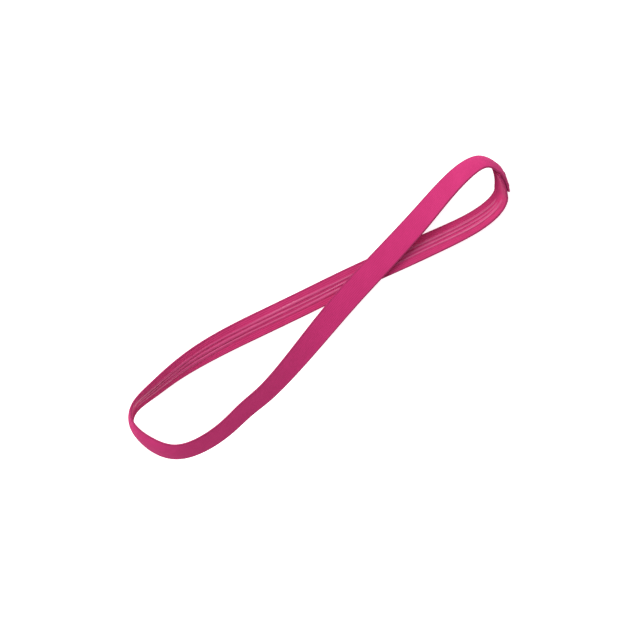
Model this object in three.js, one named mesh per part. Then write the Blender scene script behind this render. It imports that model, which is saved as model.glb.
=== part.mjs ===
// A narrow elastic sports headband, lying on a table with one full twist in it.
//
// It is one strip of knitted elastic, closed into a loop by a sewn lap. The strip has an outer
// and an inner knit face, rubber ends between them, a bound selvedge along each edge, and
// silicone grip beads along its inner face. All sizes are in millimetres, +Z is up, and the
// origin is the middle of the underside of the whole headband.
//
// Each piece is made straight and flat first, as the elastic comes off the loom, in strip
// coordinates: across (from the lower to the upper selvedge), out (from the inner to the outer
// face) and along. It is then laid along the headband's run.
import * as THREE from "three";

// Overall sizes.
const LOOP_LENGTH = 487; // once round the loop, along the strip's middle
const STRAP_WIDTH = 12; // over both selvedges

// The layers of the elastic.
const FACE_THICKNESS = 0.33; // one knit face
const RUBBER_THICKNESS = 0.3; // one rubber end
const RUBBER_WIDTH = 0.9;
const RUBBER_COUNT = 6;
const SELVEDGE_WIDTH = 0.65;
const SELVEDGE_ROUNDING = 0.3; // how far its outer corners are taken off
const LAYER_GAP = 0.08; // between two pieces of the strip that lie against each other

// Silicone grip beads on the inner face.
const BEAD_COUNT = 3;
const BEAD_PITCH = 1.9;
const BEAD_WIDTH = 1.4;
const BEAD_HEIGHT = 0.4;
const BEAD_SHOULDER = 0.28; // height of the bead a quarter of its width in from its side
const BEAD_STOP = 1; // from a bead's end to the lap

// The lap that closes the loop, and its two rows of zigzag stitches.
const LAP_LENGTH = 11;
const LAP_GAP = 0.15; // between the outer and the inner layer
const LAP_RAMP = 4.5; // length over which a layer leaves the run to make room for the other
const ROW_INSET = 3; // from each end of the lap to its row of stitches
const ROW_MARGIN = 0.5; // from a row's end to the selvedge
const STITCH_WIDTH = 1.6; // of the zigzag, along the strip
const STITCH_PITCH = 0.8; // from one needle hole to the next, across the strip
const THREAD_THICKNESS = 0.25;
const THREAD_REACH = 0.5; // how far a thread stays level with the beads past the last of them

// Where the upper strand lies over the lower one.
const CROSSING_GAP = 0.3;

// Sizes that follow from those above.
const STRAP_THICKNESS = 2 * FACE_THICKNESS + RUBBER_THICKNESS + 2 * LAYER_GAP;
const HALF_WIDTH = STRAP_WIDTH / 2;
const HALF_THICKNESS = STRAP_THICKNESS / 2;
const HALF_FACE = HALF_WIDTH - SELVEDGE_WIDTH - LAYER_GAP; // half a knit face's width
const BEAD_TOP = HALF_THICKNESS + LAYER_GAP + BEAD_HEIGHT; // a bead's crest, from the middle
const LAP_OFFSET = STRAP_THICKNESS + LAP_GAP; // between the middles of the two layers
const OVER = STRAP_THICKNESS + 2 * (BEAD_TOP - HALF_THICKNESS) + CROSSING_GAP;

// The run of the strip's middle round the loop: the control points of a closed, smooth curve.
// Each row is [x, y, low, turn, bow]: the place on the table, the height of the strip's lower
// edge, how far the strip has turned about its own run, and how far its section is bowed. The
// angles are in degrees. At turn 0 the outer face is up, at -90 the strip stands on edge and at
// -180 its inner face is up; round the loop it turns once in all. The bow is the bend from one
// edge to the other, with the outer face on its outside: the strip bows where its ends turn back.
const RUN = [
  // Upper strand, from the large lobe up over the crossing to the small lobe.
  [-106.9, -7.6, 14.5, 56, 48],
  [-98.8, -19.3, 19.4, 53, 24],
  [-84.1, -23, 20.5, 51, 10],
  [-69, -22.6, 18.6, 50, 5],
  [-57.5, -20, 16.3, 47, 0],
  [-45, -19.8, 13.5, 44, 0],
  [-25, -15, 8.3, 33, 0],
  [-4, -9, 4, 17, 0],
  [18, -3.2, OVER - 0.35, 4, 0],
  [42, 1.6, OVER - 0.6, -7, 0],
  [64, 6.4, 4, -20, 0],
  [80, 10.8, 7.9, -31, 0],
  [94.2, 14, 11.8, -37, 10],
  // Round the small lobe, where the lap is.
  [107.8, 14.3, 12.8, -54, 34],
  [112.2, 7.1, 8, -84, 76],
  [110.1, -3.2, 3.4, -115, 78],
  // Lower strand, back to the large lobe; its middle lies flat on the table.
  [102.4, -9.6, 1.2, -143, 20],
  [86, -10.1, 0.5, -152, 0],
  [66, -6.5, 0.3, -161, 0],
  [44, -2.3, 0, -180, 0],
  [22, 2, 0, -180, 0],
  [-2, 5.6, 0, -180, 0],
  [-24, 9.2, 0, -180, 0],
  [-45, 12.7, 0.5, -194, 0],
  [-63, 14.5, 0.3, -210, 0],
  [-78, 14.5, 0.1, -228, 0],
  [-90.8, 13.3, 0.2, -236, 10],
  // Round the large lobe.
  [-104.4, 13.2, 2.6, -249, 40],
  [-110.2, 4.3, 8.4, -283, 66],
];
const FULL_TURN = -360; // degrees, once round the loop
const LAP_START = 14.2; // the row at which the strip begins, on the lap's inner side
const MOST_TURN = 6; // degrees that the strip may turn, and
const MOST_BEND = 15; // degrees that the run may bend, within one facet of the strip's length
const LEAST_STEP = 0.05; // rows between the lap's end and the next station
const FACETS_PER_END = 2; // facets across a knit face for each rubber end

// Where a point of the flat strip comes when the strip is shifted outwards and its section bows:
// its places across and out. A shifted layer keeps its width and bows about the same centre.
function bowed(across, out, bow, shift) {
  const angle = THREE.MathUtils.degToRad(bow);
  if (angle < 1e-6) return [across, out + shift];
  const radius = STRAP_WIDTH / angle;
  const turned = across / (radius + shift);
  const reach = radius + shift + out;
  return [reach * Math.sin(turned), reach * Math.cos(turned) - radius];
}

// How far the strip's middle is above its lower edge.
function riseOf(turn, bow) {
  const angle = THREE.MathUtils.degToRad(turn);
  const [edge, sag] = bowed(HALF_WIDTH, 0, bow, 0);
  const lift = edge * Math.abs(Math.sin(angle)) - sag * Math.cos(angle);
  return lift + HALF_THICKNESS * Math.abs(Math.cos(angle));
}

// The run at u, counted in rows: a uniform cubic B-spline. It gives [x, y, height, turn, bow].
function runAt(u, stretch) {
  const first = Math.floor(u);
  const f = u - first;
  const weights = [
    (1 - f) ** 3 / 6,
    (3 * f ** 3 - 6 * f ** 2 + 4) / 6,
    (-3 * f ** 3 + 3 * f ** 2 + 3 * f + 1) / 6,
    f ** 3 / 6,
  ];
  const sum = [0, 0, 0, 0, 0];
  weights.forEach((weight, i) => {
    const row = first - 1 + i;
    const rounds = Math.floor(row / RUN.length);
    const [x, y, low, turn, bow] = RUN[row - rounds * RUN.length];
    sum[0] += weight * x * stretch;
    sum[1] += weight * y * stretch;
    sum[2] += weight * (low + riseOf(turn, bow));
    sum[3] += weight * (turn + rounds * FULL_TURN);
    sum[4] += weight * bow;
  });
  return sum;
}

// The length of the run between two places, measured in short straight steps.
function lengthOf(from, to, stretch) {
  const count = Math.ceil((to - from) * 20);
  let length = 0;
  let last = null;
  for (let i = 0; i <= count; i++) {
    const [x, y, z] = runAt(from + ((to - from) * i) / count, stretch);
    const here = new THREE.Vector3(x, y, z);
    if (last) length += here.distanceTo(last);
    last = here;
  }
  return length;
}

// The run is drawn at about its right size, and this brings the loop to its stated length.
const STRETCH = LOOP_LENGTH / lengthOf(0, RUN.length, 1);
const ROW_LENGTH = lengthOf(LAP_START, LAP_START + 2, STRETCH) / 2; // from row to row, at the lap

function directionAt(along) {
  const before = runAt(LAP_START + along - 0.02, STRETCH);
  const after = runAt(LAP_START + along + 0.02, STRETCH);
  const [x, y, z] = after.map((value, i) => value - before[i]);
  return new THREE.Vector3(x, y, z).normalize();
}

// The place at which the strip has run this far from its beginning, counted in rows.
function rowAt(length) {
  let row = length / ROW_LENGTH;
  for (let i = 0; i < 5; i++) row *= length / lengthOf(LAP_START, LAP_START + row, STRETCH);
  return row;
}

const LAP = rowAt(LAP_LENGTH);
const RAMP = LAP_RAMP / ROW_LENGTH;

// The stations where the strip's facets meet, counted in rows from its beginning. They lie closer
// where it turns or bends more, and the lap's two layers share theirs, so that both bend alike.
// There is one at each end of the lap, and none very near to it.
function stationsOf() {
  const stations = [];
  const ends = [LAP, RUN.length + LAP];
  for (let row = 0; row < RUN.length + LAP; row++) {
    const start = row % RUN.length;
    const [, , , turnHere] = runAt(LAP_START + start, STRETCH);
    const [, , , turnNext] = runAt(LAP_START + start + 1, STRETCH);
    const bend = THREE.MathUtils.radToDeg(directionAt(start).angleTo(directionAt(start + 1)));
    const turn = Math.abs(turnNext - turnHere);
    const steps = Math.ceil(Math.max(turn / MOST_TURN, bend / MOST_BEND));
    for (let i = 0; i < steps; i++) {
      const station = row + i / steps;
      const apart = ends.every((end) => Math.abs(station - end) > LEAST_STEP);
      if (apart && station < RUN.length + LAP) stations.push(station);
    }
  }
  return [...stations, ...ends].sort((a, b) => a - b);
}

const STATIONS = stationsOf();

// The strip's frame at a place along it: the run's middle, the directions across and out, its bow
// and its shift outwards. Along the lap, the strip's beginning is on the inside of the loop and
// its end on the outside.
function frameAt(along) {
  const [x, y, z, turn, bow] = runAt(LAP_START + along, STRETCH);
  const forward = directionAt(along);
  const level = new THREE.Vector3(0, 0, 1).cross(forward).normalize();
  const across = level.applyAxisAngle(forward, THREE.MathUtils.degToRad(turn));
  const out = forward.clone().cross(across);
  const { smoothstep } = THREE.MathUtils;
  const inwards = 1 - smoothstep(along, LAP, LAP + RAMP);
  const outwards = smoothstep(along, RUN.length - RAMP, RUN.length);
  const shift = ((outwards - inwards) * LAP_OFFSET) / 2;
  return { middle: new THREE.Vector3(x, y, z), across, out, bow, shift };
}

// Lays a flat piece along the run. "place" turns one of its points into [across, out, along].
function layAlongRun(geometry, place) {
  const points = geometry.getAttribute("position");
  for (let i = 0; i < points.count; i++) {
    const [across, out, along] = place(points.getX(i), points.getY(i), points.getZ(i));
    const frame = frameAt(along);
    const [a, o] = bowed(across, out, frame.bow, frame.shift);
    const p = frame.middle.addScaledVector(frame.across, a).addScaledVector(frame.out, o);
    points.setXYZ(i, p.x, p.y, p.z);
  }
  geometry.computeVertexNormals();
  return geometry;
}

// A piece with one section, given as [across, out] points. It runs along the strip through these
// stations.
function lengthwise(section, stations = STATIONS) {
  const shape = new THREE.Shape(section.map(([across, out]) => new THREE.Vector2(across, out)));
  const steps = stations.length - 1;
  const flat = new THREE.ExtrudeGeometry(shape, { depth: steps, steps, bevelEnabled: false });
  return layAlongRun(flat, (across, out, step) => [across, out, stations[Math.round(step)]]);
}

// A slab from side to side and from low to high, with a number of equal facets across.
function slab(from, to, low, high, facets) {
  const places = Array.from({ length: facets + 1 }, (_, i) => from + ((to - from) * i) / facets);
  return [...places.map((p) => [p, low]), ...places.reverse().map((p) => [p, high])];
}

// One knit face: side is 1 for the outer face and -1 for the inner one. It has facets across for
// each rubber end, so that it follows the twist and the bow as closely as they do.
function knitFace(side) {
  const skin = side * HALF_THICKNESS;
  const back = side * (HALF_THICKNESS - FACE_THICKNESS);
  const [low, high] = [Math.min(skin, back), Math.max(skin, back)];
  return lengthwise(slab(-HALF_FACE, HALF_FACE, low, high, FACETS_PER_END * RUBBER_COUNT));
}

// One rubber end, in its share of the room between the selvedges.
function rubberEnd(index) {
  const pitch = (2 * HALF_FACE) / RUBBER_COUNT;
  const middle = (index - (RUBBER_COUNT - 1) / 2) * pitch;
  const [half, high] = [RUBBER_WIDTH / 2, RUBBER_THICKNESS / 2];
  return lengthwise(slab(middle - half, middle + half, -high, high, 1));
}

// One selvedge, rounded on its outer side: side is 1 for the upper and -1 for the lower one.
function selvedge(side) {
  const inner = HALF_WIDTH - SELVEDGE_WIDTH;
  const level = HALF_THICKNESS - SELVEDGE_ROUNDING;
  const profile = [
    [inner, -HALF_THICKNESS],
    [HALF_WIDTH - SELVEDGE_ROUNDING, -HALF_THICKNESS],
    [HALF_WIDTH, -level],
    [HALF_WIDTH, level],
    [HALF_WIDTH - SELVEDGE_ROUNDING, HALF_THICKNESS],
    [inner, HALF_THICKNESS],
  ];
  return lengthwise(profile.map(([across, out]) => [side * across, side * out]));
}

// One low, domed silicone bead on the inner face. It stops short of the lap's outer layer, so
// that the two layers lie flat on each other.
function gripBead(index) {
  const middle = (index - (BEAD_COUNT - 1) / 2) * BEAD_PITCH;
  const seat = -(HALF_THICKNESS + LAYER_GAP);
  const profile = [
    [middle + BEAD_WIDTH / 4, seat - BEAD_SHOULDER],
    [middle, seat - BEAD_HEIGHT],
    [middle - BEAD_WIDTH / 4, seat - BEAD_SHOULDER],
    [middle - BEAD_WIDTH / 2, seat],
    [middle + BEAD_WIDTH / 2, seat],
  ];
  const end = RUN.length - BEAD_STOP / ROW_LENGTH;
  return lengthwise(profile, STATIONS.filter((along) => along < end));
}

// The zigzag of one sewing thread across the strip. It is drawn flat, [along, across], and given
// its thickness outwards; "seat" is the height of its lower side at a place across the strip.
function zigzag(along, seat) {
  const reach = HALF_FACE - ROW_MARGIN;
  const count = Math.round((2 * reach) / STITCH_PITCH);
  const near = [];
  const far = [];
  for (let i = 0; i <= count; i++) {
    const across = -reach + (2 * reach * i) / count;
    const middle = (i % 2 ? 0.5 : -0.5) * (STITCH_WIDTH - THREAD_THICKNESS);
    near.push(new THREE.Vector2(middle + THREAD_THICKNESS / 2, across));
    far.push(new THREE.Vector2(middle - THREAD_THICKNESS / 2, across));
  }
  const shape = new THREE.Shape([...near, ...far.reverse()]);
  const flat = new THREE.ExtrudeGeometry(shape, { depth: THREAD_THICKNESS, bevelEnabled: false });
  return layAlongRun(flat, (s, across, height) => [
    across,
    seat(across) + height,
    along + s / ROW_LENGTH,
  ]);
}

// The needle thread lies on the outer face of the lap's outer layer.
function needleThread(place) {
  return zigzag(RUN.length + place, () => HALF_THICKNESS + LAYER_GAP);
}

// The bobbin thread lies on the inner face of the lap's inner layer, and bridges the beads.
function bobbinThread(place) {
  const beadsEnd = ((BEAD_COUNT - 1) * BEAD_PITCH + BEAD_WIDTH) / 2 + THREAD_REACH;
  return zigzag(place, (across) => {
    const surface = Math.abs(across) < beadsEnd ? BEAD_TOP : HALF_THICKNESS;
    return -(surface + LAYER_GAP + THREAD_THICKNESS);
  });
}

const KNIT_OUTER = { color: 0xd2417e, roughness: 0.85, metalness: 0 };
const KNIT_INNER = { color: 0xb8386c, roughness: 0.85, metalness: 0 };
const SELVEDGE = { color: 0xa2325f, roughness: 0.8, metalness: 0 };
const RUBBER = { color: 0xe7dccb, roughness: 0.6, metalness: 0 };
const SILICONE = { color: 0xc8578c, roughness: 0.3, metalness: 0 };
const THREAD = { color: 0xc23a74, roughness: 0.6, metalness: 0 };

const strap = new THREE.Group();

function add(name, geometry, finish) {
  const mesh = new THREE.Mesh(geometry, new THREE.MeshStandardMaterial(finish));
  mesh.name = name;
  strap.add(mesh);
}

add("outer_knit_face", knitFace(1), KNIT_OUTER);
add("inner_knit_face", knitFace(-1), KNIT_INNER);
add("upper_selvedge", selvedge(1), SELVEDGE);
add("lower_selvedge", selvedge(-1), SELVEDGE);
for (let i = 0; i < RUBBER_COUNT; i++) add(`rubber_end_${i + 1}`, rubberEnd(i), RUBBER);
for (let i = 0; i < BEAD_COUNT; i++) add(`grip_bead_${i + 1}`, gripBead(i), SILICONE);
const rows = [ROW_INSET / ROW_LENGTH, LAP - ROW_INSET / ROW_LENGTH];
rows.forEach((place, i) => {
  add(`needle_thread_${i + 1}`, needleThread(place), THREAD);
  add(`bobbin_thread_${i + 1}`, bobbinThread(place), THREAD);
});

// The origin is the middle of the underside.
const box = new THREE.Box3().setFromObject(strap);
const centre = box.getCenter(new THREE.Vector3());
strap.position.set(-centre.x, -centre.y, -box.min.z);

const headband = new THREE.Group();
headband.add(strap);

export default headband;
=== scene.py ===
import math

import bpy
import numpy as np
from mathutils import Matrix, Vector


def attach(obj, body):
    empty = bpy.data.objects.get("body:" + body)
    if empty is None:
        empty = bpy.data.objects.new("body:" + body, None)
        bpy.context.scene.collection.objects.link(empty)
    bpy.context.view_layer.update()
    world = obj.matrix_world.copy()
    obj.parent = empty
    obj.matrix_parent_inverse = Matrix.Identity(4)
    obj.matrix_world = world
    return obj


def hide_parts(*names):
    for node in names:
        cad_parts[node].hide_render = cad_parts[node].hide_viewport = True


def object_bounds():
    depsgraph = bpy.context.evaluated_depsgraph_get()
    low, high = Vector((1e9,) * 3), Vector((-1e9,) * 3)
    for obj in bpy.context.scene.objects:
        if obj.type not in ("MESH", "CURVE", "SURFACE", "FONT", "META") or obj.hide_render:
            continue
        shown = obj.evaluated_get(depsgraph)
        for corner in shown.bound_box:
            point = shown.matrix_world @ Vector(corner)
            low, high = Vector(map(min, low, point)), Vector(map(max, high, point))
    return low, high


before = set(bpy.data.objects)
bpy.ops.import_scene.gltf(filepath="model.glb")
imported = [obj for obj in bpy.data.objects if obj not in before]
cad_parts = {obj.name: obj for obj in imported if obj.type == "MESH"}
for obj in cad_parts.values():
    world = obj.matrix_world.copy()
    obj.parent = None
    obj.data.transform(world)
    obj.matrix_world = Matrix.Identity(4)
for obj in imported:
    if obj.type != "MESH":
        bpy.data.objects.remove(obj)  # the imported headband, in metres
cad_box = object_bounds()


# ---------------------------------------------------------------------------------------------
# Camera. It looks straight down on the headband, which lies on a table, from far enough away
# that the raised lobes keep their size, and it is turned so that the loop runs up to the right.
VIEW_TURN = math.radians(-35)
VIEW_HEIGHT = 3.0  # above the table
VIEW_WIDTH = 0.3117  # how much of the table the view takes in, from side to side
VIEW_OFFSET = (-0.00449, -0.00185)  # from the middle of the headband to the middle of the view

cad_middle = (cad_box[0] + cad_box[1]) / 2
lens = bpy.data.cameras.new("view")
lens.sensor_width = 36
lens.lens = lens.sensor_width * VIEW_HEIGHT / VIEW_WIDTH
lens.clip_end = 100
camera = bpy.data.objects.new("view", lens)
camera.location = (cad_middle.x + VIEW_OFFSET[0], cad_middle.y + VIEW_OFFSET[1], VIEW_HEIGHT)
camera.rotation_euler = (0, 0, VIEW_TURN)
bpy.context.scene.collection.objects.link(camera)
bpy.context.scene.camera = camera


# ---------------------------------------------------------------------------------------------
# Rubber ends. Natural rubber threads, squeezed flat, lie side by side between the two faces of
# the elastic and make it stretch. Where the strip is cut they spring back a little into it.
RUBBER_COUNT = 6
RUBBER_WIDTH = 0.0009
RUBBER_THICKNESS = 0.0003
RUBBER_PITCH = 0.001757
RUBBER_STEP = 0.001  # length of one facet along the strip
RUBBER_SIDES = 12
RUBBER_RETREAT = 0.0006  # from the cut end of the strip

# The strip they run in: its ends lap and are sewn, and the loop lies with one full twist, one
# strand over the other. Every place on it is given as along, across (to the upper selvedge) and
# out (to the outer face).
LOOP_LENGTH = 0.487
LAP_LENGTH = 0.011
STRIP_LENGTH = LOOP_LENGTH + LAP_LENGTH
STRAP_WIDTH = 0.012
STRAP_THICKNESS = 0.00112
HALF_WIDTH = STRAP_WIDTH / 2
HALF_THICKNESS = STRAP_THICKNESS / 2
LAP_RAMP = 0.0045  # length over which a layer leaves the run to make room for the other
LAP_OFFSET = 0.00127  # between the middles of the lap's two layers
OVER = 0.00238  # from the table to the lower side of the strand that lies on top

# The run's control points: place on the table, height of the strip's lower edge, and in degrees
# the strip's turn about its own run and the bow of its section. At turn 0 the outer face is up.
RUN = [
    (-0.1069, -0.0076, 0.0145, 56, 48),
    (-0.0988, -0.0193, 0.0194, 53, 24),
    (-0.0841, -0.023, 0.0205, 51, 10),
    (-0.069, -0.0226, 0.0186, 50, 5),
    (-0.0575, -0.02, 0.0163, 47, 0),
    (-0.045, -0.0198, 0.0135, 44, 0),
    (-0.025, -0.015, 0.0083, 33, 0),
    (-0.004, -0.009, 0.004, 17, 0),
    (0.018, -0.0032, OVER - 0.00035, 4, 0),
    (0.042, 0.0016, OVER - 0.0006, -7, 0),
    (0.064, 0.0064, 0.004, -20, 0),
    (0.08, 0.0108, 0.0079, -31, 0),
    (0.0942, 0.014, 0.0118, -37, 10),
    (0.1078, 0.0143, 0.0128, -54, 34),
    (0.1122, 0.0071, 0.008, -84, 76),
    (0.1101, -0.0032, 0.0034, -115, 78),
    (0.1024, -0.0096, 0.0012, -143, 20),
    (0.086, -0.0101, 0.0005, -152, 0),
    (0.066, -0.0065, 0.0003, -161, 0),
    (0.044, -0.0023, 0, -180, 0),
    (0.022, 0.002, 0, -180, 0),
    (-0.002, 0.0056, 0, -180, 0),
    (-0.024, 0.0092, 0, -180, 0),
    (-0.045, 0.0127, 0.0005, -194, 0),
    (-0.063, 0.0145, 0.0003, -210, 0),
    (-0.078, 0.0145, 0.0001, -228, 0),
    (-0.0908, 0.0133, 0.0002, -236, 10),
    (-0.1044, 0.0132, 0.0026, -249, 40),
    (-0.1102, 0.0043, 0.0084, -283, 66),
]
FULL_TURN = -360
STRIP_START = 14.2  # the row at which the strip begins, inside the loop's small end


def bowed(across, out, bow, shift=0):
    """Places across and out once the strip is shifted out and bows, with its outer face outside."""
    radius = STRAP_WIDTH / np.maximum(bow, 1e-6)
    angle = across / (radius + shift)
    reach = radius + shift + out
    return reach * np.sin(angle), reach * np.cos(angle) - radius


controls = np.array(RUN, float)
controls[:, 3:] = np.radians(controls[:, 3:])
edge, sag = bowed(HALF_WIDTH, 0, controls[:, 4])
controls[:, 2] += edge * abs(np.sin(controls[:, 3])) - sag * np.cos(controls[:, 3])
controls[:, 2] += HALF_THICKNESS * abs(np.cos(controls[:, 3]))


def run_at(rows):
    """Place, turn and bow at these places, counted in rows of RUN from the strip's start."""
    rows = np.asarray(rows, float) + STRIP_START
    first = np.floor(rows).astype(int)
    f = (rows - first)[:, None]
    weights = ((1 - f) ** 3, 3 * f**3 - 6 * f**2 + 4, -3 * f**3 + 3 * f**2 + 3 * f + 1, f**3)
    total = np.zeros((len(rows), 5))
    for step, weight in enumerate(weights, start=-1):
        rounds, row = np.divmod(first + step, len(controls))
        turned = rounds[:, None] * np.array((0, 0, 0, math.radians(FULL_TURN), 0))
        total += weight / 6 * (controls[row] + turned)
    return total


def lengths_at(rows):
    steps = np.linalg.norm(np.diff(run_at(rows)[:, :3], axis=0), axis=1)
    return np.concatenate([[0], np.cumsum(steps)])


ruler = np.linspace(0, len(RUN) + 3, 60 * (len(RUN) + 3))
controls[:, :2] *= LOOP_LENGTH / np.interp(len(RUN), ruler, lengths_at(ruler))
distances = lengths_at(ruler)


def smooth_step(x, low, high):
    x = np.clip((x - low) / (high - low), 0, 1)
    return x * x * (3 - 2 * x)


def strip_points(along, across, out):
    """Where these places on the strip are: along is a list, and each has a row of the others."""
    rows = np.interp(along, distances, ruler)
    here, before, after = run_at(rows), run_at(rows - 0.02), run_at(rows + 0.02)
    forward = after[:, :3] - before[:, :3]
    forward /= np.linalg.norm(forward, axis=1)[:, None]
    level = np.cross((0, 0, 1), forward)
    level /= np.linalg.norm(level, axis=1)[:, None]
    turn = here[:, 3, None]
    to_across = level * np.cos(turn) + np.cross(forward, level) * np.sin(turn)
    to_out = np.cross(forward, to_across)
    # Where the ends lap, the strip's beginning is inside the loop and its end outside.
    inwards = 1 - smooth_step(along, LAP_LENGTH, LAP_LENGTH + LAP_RAMP)
    outwards = smooth_step(along, LOOP_LENGTH - LAP_RAMP, LOOP_LENGTH)
    shift = (outwards - inwards) * LAP_OFFSET / 2
    across, out = bowed(across, out, here[:, 4, None], shift[:, None])
    sideways = across[:, :, None] * to_across[:, None] + out[:, :, None] * to_out[:, None]
    return here[:, None, :3] + sideways


corners = np.array([(a, o) for a in (-HALF_WIDTH, 0, HALF_WIDTH) for o in (-1, 1)])
corners[:, 1] *= HALF_THICKNESS
walk = np.linspace(0, STRIP_LENGTH, 1000)
drawn = strip_points(walk, *[np.tile(c, (len(walk), 1)) for c in corners.T]).reshape(-1, 3)
controls[:, :2] += np.array(cad_middle)[:2] - (drawn.min(axis=0) + drawn.max(axis=0))[:2] / 2
controls[:, 2] += cad_box[0].z - drawn[:, 2].min()

BAKE_ROWS = 5  # the strip's surface is folded this many times to fill its baking map


def skin(name, points, along, across, out):
    """A closed skin through rings of points, which keeps each point's place on the strip."""
    count, ring = points.shape[:2]
    i, j = np.meshgrid(np.arange(count - 1), np.arange(ring), indexing="ij")
    k = (j + 1) % ring
    quads = np.stack([i * ring + j, i * ring + k, (i + 1) * ring + k, (i + 1) * ring + j], 2)
    faces = quads.reshape(-1, 4).tolist()
    faces += [list(range(ring))[::-1], list(range((count - 1) * ring, count * ring))]
    mesh = bpy.data.meshes.new(name)
    mesh.from_pydata(points.reshape(-1, 3).tolist(), [], faces)
    mesh.shade_smooth()
    place = mesh.attributes.new("strip", "FLOAT_VECTOR", "POINT")
    places = np.stack(np.broadcast_arrays(along, across, out), 2)
    place.data.foreach_set("vector", places.astype(np.float32).ravel())
    piece = bpy.data.objects.new(name, mesh)
    bpy.context.scene.collection.objects.link(piece)
    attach(piece, "root")
    # Its map for baking holds its length in rows, with its way round across each row.
    share = np.arange(count) / (count - 1) * BAKE_ROWS
    row = np.minimum(np.floor(share[:-1] + 1e-6), BAKE_ROWS - 1)[i]
    u = np.stack([share[i] - row, share[i] - row, share[i + 1] - row, share[i + 1] - row], 2)
    v = (row[:, :, None] + 0.02 + 0.96 * np.stack([j, j + 1, j + 1, j], 2) / ring) / BAKE_ROWS
    sides_map = np.stack([u.clip(0, 1), v], 3).reshape(-1, 2)
    caps_map = np.stack([np.tile(np.arange(ring) / ring, 2), np.arange(2 * ring) % 2 / 1000], 1)
    baking = mesh.uv_layers.new(name="OFBake")
    baking.uv.foreach_set("vector", np.concatenate([sides_map, caps_map]).astype(np.float32).ravel())
    return piece


def lay_strip(name, along, across, out):
    """A piece that runs along the strip, with a ring of places across and out at each step."""
    return skin(name, strip_points(along, across, out), along[:, None], across, out)


class Field:
    """A shader socket with arithmetic, so that a pattern can be written as an expression."""

    def __init__(self, socket):
        self.socket = socket

    def node(self, kind, settings=None, inputs=None, output=0):
        """A new node beside this one: its type, its settings, and its sockets' values or links."""
        made = self.socket.id_data.nodes.new("ShaderNode" + kind)
        for name, value in (settings or {}).items():
            setattr(made, name, value)
        for name, value in (inputs or {}).items():
            feed(made.inputs[name], value)
        return Field(made.outputs[output])

    def maths(self, operation, *values):
        return self.node("Math", {"operation": operation}, dict(enumerate((self, *values))))

    def __add__(self, other):
        return self.maths("ADD", other)

    def __sub__(self, other):
        return self.maths("SUBTRACT", other)

    def __rsub__(self, other):
        return self.maths("MULTIPLY_ADD", -1.0, other)

    def __mul__(self, other):
        return self.maths("MULTIPLY", other)

    def __truediv__(self, other):
        return self.maths("DIVIDE", other)

    __radd__, __rmul__ = __add__, __mul__

    def wave(self):
        """From 0 to 1 and back, once for each whole number."""
        return (self * (2 * math.pi)).maths("SINE") * 0.5 + 0.5

    def peak(self):
        """1 at each half and 0 at each whole number, in straight lines."""
        return 1 - (self.maths("FRACT") * 2 - 1).maths("ABSOLUTE")

    def noise(self, scale, detail=2.0):
        """Blotches from 0 to 1 over a field of places, with this many to the metre."""
        return self.node("TexNoise", None, {"Vector": self, "Scale": scale, "Detail": detail})

    def stretched(self, along, across, out):
        """A field of places, drawn out or pressed together in each direction."""
        inputs = {0: self, 1: (along, across, out)}
        return self.node("VectorMath", {"operation": "MULTIPLY"}, inputs)

    def between(self, low, high):
        """A colour that goes from low to high as the field goes from 0 to 1."""
        return self.node("Mix", {"data_type": "RGBA"}, {0: self, 6: low, 7: high}, 2)

    def bump(self, strength, depth):
        """A normal for this field as a height, which is this many metres at 1."""
        return self.node("Bump", None, {"Height": self, "Strength": strength, "Distance": depth})


def feed(socket, value):
    """Sets a shader's socket, or links a field to it."""
    if isinstance(value, Field):
        socket.id_data.links.new(value.socket, socket)
    else:
        socket.default_value = value


def new_material(name, **constants):
    """A material, its shader's sockets, and the fields place, along, across and out."""
    made = bpy.data.materials.new(name)
    made.use_nodes = True
    shader = made.node_tree.nodes["Principled BSDF"].inputs
    for socket, value in constants.items():
        shader[socket.replace("_", " ")].default_value = value
    place = Field(shader["Base Color"]).node("Attribute", {"attribute_name": "strip"}, None, "Vector")
    parts = place.node("SeparateXYZ", None, {"Vector": place}).socket.node.outputs
    return made, shader, place, *map(Field, parts)


def finish_piece(piece, material, node):
    piece.data.materials.append(material)
    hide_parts(node)


rubber, shader, place, along, across, out = new_material("natural_rubber", Roughness=0.55)
grain = place.noise(900, 3)
feed(shader["Base Color"], grain.between((0.62, 0.52, 0.4, 1), (0.78, 0.7, 0.58, 1)))
feed(shader["Normal"], grain.bump(0.6, 2e-5))

steps = round(STRIP_LENGTH / RUBBER_STEP)
reach = np.linspace(RUBBER_RETREAT, STRIP_LENGTH - RUBBER_RETREAT, steps)
angle = np.linspace(0, 2 * np.pi, RUBBER_SIDES, endpoint=False)
for i in range(RUBBER_COUNT):
    middle = (i - (RUBBER_COUNT - 1) / 2) * RUBBER_PITCH
    ring_across = np.tile(middle + np.cos(angle) * RUBBER_WIDTH / 2, (len(reach), 1))
    ring_out = np.tile(np.sin(angle) * RUBBER_THICKNESS / 2, (len(reach), 1))
    piece = lay_strip(f"rubber_{i + 1}", reach, ring_across, ring_out)
    finish_piece(piece, rubber, f"rubber_end_{i + 1}")


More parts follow.
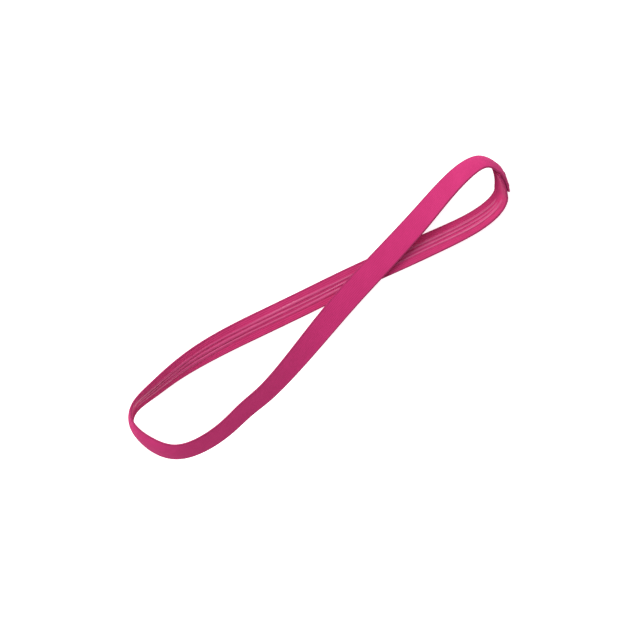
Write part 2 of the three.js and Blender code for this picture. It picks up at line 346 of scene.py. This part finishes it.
# ---------------------------------------------------------------------------------------------
# Knit faces. The elastic's outer face is a fine, matte knit of polyester yarn, and its inner
# face has coarser ribs that run along it. They are knitted in one piece round the rubber ends,
# and the lap's stitches pull them in.
FACE_THICKNESS = 0.00033
HALF_FACE = 0.00537  # half a knit face's width, up to where it runs into the rims
FACE_STEP = 0.00055  # length of one facet along the strip
FACE_COLUMNS = 72
WALE = 0.00088  # pitch of the ribs, across
COURSE = 0.00062  # pitch of the stitches, along
STITCH_ROWS = (0.003, LAP_LENGTH - 0.003)  # from the start of the lap
ROW_PULL = 0.00012  # how deep a row of stitches pulls the knit in
ROW_PULL_REACH = 0.0009
UNEVENNESS = 0.6  # of the stitches along the ribs, as a share of the ribs' relief
UNEVEN_ALONG, UNEVEN_ACROSS = 900, 1500  # its waves, in radians to the metre


def knit_face(name, side, relief, lap_start):
    """One face of the elastic: side is 1 for the outer and -1 for the inner one."""
    along = np.linspace(0, STRIP_LENGTH, round(STRIP_LENGTH / FACE_STEP))[:, None]
    across = np.linspace(-HALF_FACE, HALF_FACE, FACE_COLUMNS + 1)
    ribs = relief * np.cos(2 * np.pi * across / WALE)
    waves = np.sin(along * UNEVEN_ALONG + 2 * np.sin(across * UNEVEN_ACROSS))
    drift = relief * UNEVENNESS * waves
    pulls = [np.exp(-(((along - lap_start - row) / ROW_PULL_REACH) ** 2)) for row in STITCH_ROWS]
    skin_out = HALF_THICKNESS - relief + ribs + drift - ROW_PULL * sum(pulls)
    ring_across = np.tile(np.append(across, (HALF_FACE, -HALF_FACE)), (len(along), 1))
    back = np.full((len(along), 2), HALF_THICKNESS - FACE_THICKNESS)
    ring_out = side * np.concatenate([skin_out, back], axis=1)
    order = slice(None, None, -side)  # keeps the skin facing outwards on both faces
    return lay_strip(name, along[:, 0], ring_across[:, order], ring_out[:, order])


def knit_material(name, pink, deep, stitch_share):
    """Matte knit: slanting stitches in ribs along the strip, with painted shade in the grooves."""
    made, shader, place, along, across, out = new_material(
        name,
        Roughness=0.9,
        Specular_IOR_Level=0.15,
        Sheen_Weight=0.08,
        Sheen_Roughness=0.5,
        Sheen_Tint=(1, 0.4, 0.65, 1),
        Emission_Color=pink,  # stands in for the light that passes through the yarns
        Emission_Strength=0.03,
    )
    rib = (across / WALE + 0.5).peak()
    stitch = (along / COURSE + rib * 0.5).wave() * rib
    height = rib.maths("SQRT") * (1 - stitch_share) + stitch * stitch_share
    fluff = place.noise(4200)
    cloud = place.noise(120)
    # The stitches' height darkens the grooves as painted shade; fluff and cloud are the yarn's own
    # random tone.
    tone = height * 0.5 + fluff * 0.3 + cloud * 0.5 - 0.15
    feed(shader["Base Color"], tone.between(deep, pink))
    feed(shader["Normal"], (height + fluff * 0.6).bump(0.7, 7e-5))
    return made


inner_face = knit_face("inner_face", -1, 0.00006, 0)
inner_knit = knit_material("inner_knit", (0.58, 0.04, 0.17, 1), (0.37, 0.02, 0.095, 1), 0.3)
finish_piece(inner_face, inner_knit, "inner_knit_face")

outer_face = knit_face("outer_face", 1, 0.00003, LOOP_LENGTH)
outer_knit = knit_material("outer_knit", (0.58, 0.036, 0.175, 1), (0.42, 0.02, 0.115, 1), 0.5)
finish_piece(outer_face, outer_knit, "outer_knit_face")


# ---------------------------------------------------------------------------------------------
# Selvedges. Along each edge of the elastic the yarns turn back round a rolled rim, knitted in
# one with the faces. It shows as a fine line, scalloped by the turning yarns, whose deeper
# colour is painted shade for the rim that curves away from the light.
SELVEDGE_WIDTH = 0.00065
SELVEDGE_STEP = 0.0003
SELVEDGE_SIDES = 16
PICOT_PITCH = 0.0012
PICOT_RELIEF = 0.00005

selvedge_yarn, shader, place, along, across, out = new_material(
    "selvedge_yarn", Roughness=0.85, Specular_IOR_Level=0.2
)
yarn = (along / COURSE + out * 900).wave()
picot = (along / PICOT_PITCH).peak()
tone = yarn * 0.4 + picot * 0.2 + place.noise(150) * 0.4
# painted shade: the rims' colours are darker than the faces' to stand in for shade on the rolled
# edges
feed(shader["Base Color"], tone.between((0.27, 0.015, 0.075, 1), (0.45, 0.03, 0.135, 1)))
feed(shader["Normal"], yarn.bump(0.6, 5e-5))

reach = np.linspace(0, STRIP_LENGTH, round(STRIP_LENGTH / SELVEDGE_STEP))[:, None]
angle = np.linspace(-np.pi / 2, 3 * np.pi / 2, SELVEDGE_SIDES, endpoint=False)
scallop = PICOT_RELIEF * (0.5 - 0.5 * np.cos(2 * np.pi * reach / PICOT_PITCH))
for side, name in ((1, "upper"), (-1, "lower")):
    inner = HALF_WIDTH - SELVEDGE_WIDTH
    ring_across = inner + np.maximum(np.cos(angle), 0) * (SELVEDGE_WIDTH - scallop)
    ring_out = np.tile(np.sin(angle) * HALF_THICKNESS, (len(reach), 1))
    piece = lay_strip(f"{name}_rim", reach[:, 0], side * ring_across, side * ring_out)
    finish_piece(piece, selvedge_yarn, f"{name}_selvedge")


# ---------------------------------------------------------------------------------------------
# Grip beads. Three lines of clear silicone, laid wet on the inner face and cured there, keep
# the band from slipping. They swell and thin out in turn, are glossy in some places and dulled by
# wear in others, and stop short of the lap.
BEAD_COUNT = 3
BEAD_PITCH = 0.0019
BEAD_WIDTH = 0.0014
BEAD_HEIGHT = 0.0003  # above the inner face
BEAD_SINK = 0.00004  # into the knit
BEAD_STEP = 0.0005
BEAD_SIDES = 13
BEAD_STOP = 0.001  # from a bead's end to the lap
WANDER, WANDER_RATE = 0.0001, 130  # how far a bead strays sideways, and its waves
SWELL, SWELL_RATE = 0.22, 73  # share by which it swells and thins out, in long waves
RIPPLE, RIPPLE_RATE = 0.05, 410  # and in short ones; the rates are in radians to the metre

silicone, shader, place, along, across, out = new_material(
    "clear_silicone", IOR=1.4, Coat_Weight=0.06, Coat_Roughness=0.3
)
ripple = place.stretched(0.35, 1, 1).noise(500)
dust = place.noise(2500, 3)
tone = ripple * 0.6 + dust * 0.4
wear = place.stretched(0.3, 8, 1).noise(70)
feed(shader["Base Color"], tone.between((0.4, 0.022, 0.11, 1), (0.56, 0.055, 0.2, 1)))
feed(shader["Roughness"], dust * 0.15 + wear * 1.3 - 0.25)
feed(shader["Normal"], (ripple + dust * 0.15).bump(0.5, 1e-4))

bead_length = LOOP_LENGTH - BEAD_STOP
reach = np.linspace(0, bead_length, round(bead_length / BEAD_STEP))[:, None]
angle = np.linspace(0, np.pi, BEAD_SIDES)[::-1]
for i in range(BEAD_COUNT):
    middle = (i - (BEAD_COUNT - 1) / 2) * BEAD_PITCH
    middle = middle + WANDER * np.sin(reach * WANDER_RATE + 1.7 * i)
    swell = 1 + SWELL * np.sin(reach * SWELL_RATE + 2.2 * i)
    swell = swell + RIPPLE * np.sin(reach * RIPPLE_RATE + 2 * i)
    ring_across = middle + np.cos(angle) * BEAD_WIDTH / 2 * swell
    ring_out = BEAD_SINK - HALF_THICKNESS - np.sin(angle) * (BEAD_HEIGHT + BEAD_SINK) * swell
    piece = lay_strip(f"silicone_{i + 1}", reach[:, 0], ring_across, ring_out)
    finish_piece(piece, silicone, f"grip_bead_{i + 1}")


# ---------------------------------------------------------------------------------------------
# Sewing threads. Two rows of zigzag in polyester thread hold the lap. In each row a needle
# thread lies on the outer face and a bobbin thread on the inner one, and at each hole of the
# needle they dip into the knit.
THREAD_RADIUS = 0.000125
STITCH_WIDTH = 0.0016
STITCH_PITCH = 0.0008
STITCH_POINTS = 8  # from one hole to the next
THREAD_DIP = 0.0001
THREAD_SIDES = 12
ROW_REACH = HALF_FACE - 0.0006  # of a row of stitches, from the middle of the strip
BRIDGE = (0.0028, 0.0034)  # across which the bobbin thread climbs on to the beads

sewing_thread, shader, place, along, across, out = new_material("sewing_thread", Roughness=0.5)
twist = (along * 2600 + across * 1500).wave()
feed(shader["Base Color"], twist.between((0.36, 0.02, 0.1, 1), (0.6, 0.05, 0.21, 1)))
feed(shader["Normal"], twist.bump(0.6, 4e-5))


def zigzag_thread(name, row, side):
    """A thread that zigzags across the strip: side is 1 on the outer face, -1 on the inner."""
    holes = round(2 * ROW_REACH / STITCH_PITCH)
    t = np.linspace(0, holes, holes * STITCH_POINTS + 1)
    across = (2 * t / holes - 1)[:, None] * ROW_REACH
    swing = 4 * abs((t / 2) % 1 - 0.5) - 1
    along = row + swing * (STITCH_WIDTH / 2 - THREAD_RADIUS)
    lift = THREAD_DIP * (2 * np.sin(np.pi * (t % 1)) ** 0.5 - 1)[:, None]
    climb = (1 - smooth_step(abs(across), *BRIDGE)) * (BEAD_HEIGHT + ROW_PULL) * (side < 0)
    out = side * (HALF_THICKNESS - ROW_PULL + climb + THREAD_RADIUS * 0.6 + lift)
    line = strip_points(along, across, out)[:, 0]
    ahead = np.gradient(line, axis=0)
    beside = np.cross(strip_points(along, across, out + THREAD_RADIUS)[:, 0] - line, ahead)
    above = np.cross(ahead, beside)
    beside /= np.linalg.norm(beside, axis=1)[:, None]
    above /= np.linalg.norm(above, axis=1)[:, None]
    angle = np.linspace(0, 2 * np.pi, THREAD_SIDES, endpoint=False)[:, None]
    ring = np.cos(angle) * beside[:, None] + np.sin(angle) * above[:, None]
    points = line[:, None] + ring * THREAD_RADIUS
    width = np.ones(THREAD_SIDES)
    return skin(name, points, along[:, None] * width, across * width, out * width)


for i, row in enumerate(STITCH_ROWS, start=1):
    needle = zigzag_thread(f"needle_zigzag_{i}", LOOP_LENGTH + row, 1)
    finish_piece(needle, sewing_thread, f"needle_thread_{i}")
    bobbin = zigzag_thread(f"bobbin_zigzag_{i}", row, -1)
    finish_piece(bobbin, sewing_thread, f"bobbin_thread_{i}")


# ---------------------------------------------------------------------------------------------
# Table and light. A plain white table top, a white room, and two large soft lamps: the key on
# the far side of the headband, and another overhead.
TABLE_SIZE = 8.0
TABLE_DROP = 0.0001

white, shader, place, along, across, out = new_material(
    "white_table", Roughness=0.6, Emission_Color=(1, 1, 1, 1), Emission_Strength=0.7
)
feed(shader["Base Color"], place.noise(3).between((0.84, 0.84, 0.84, 1), (0.86, 0.86, 0.86, 1)))
bpy.ops.mesh.primitive_plane_add(size=TABLE_SIZE, location=(0, 0, cad_box[0].z - TABLE_DROP))
table = bpy.context.object
table.name = "table"
table.data.materials.append(white)

world = bpy.data.worlds.new("room")
world.use_nodes = True
world.node_tree.nodes["Background"].inputs["Color"].default_value = (1, 1, 1, 1)
world.node_tree.nodes["Background"].inputs["Strength"].default_value = 0.41
bpy.context.scene.world = world

for name, place, size, power in (
    ("key_lamp", (-0.15, 0.85, 1.0), 0.7, 13),
    ("top_lamp", (0.0, 0.3, 1.5), 1.0, 6),
):
    lamp = bpy.data.lights.new(name, "AREA")
    lamp.size, lamp.energy = size, power
    holder = bpy.data.objects.new(name, lamp)
    holder.location = place
    holder.rotation_mode = "QUATERNION"
    holder.rotation_quaternion = (-Vector(place)).to_track_quat("-Z", "Y")
    bpy.context.scene.collection.objects.link(holder)

bpy.context.scene.view_settings.view_transform = "Standard"
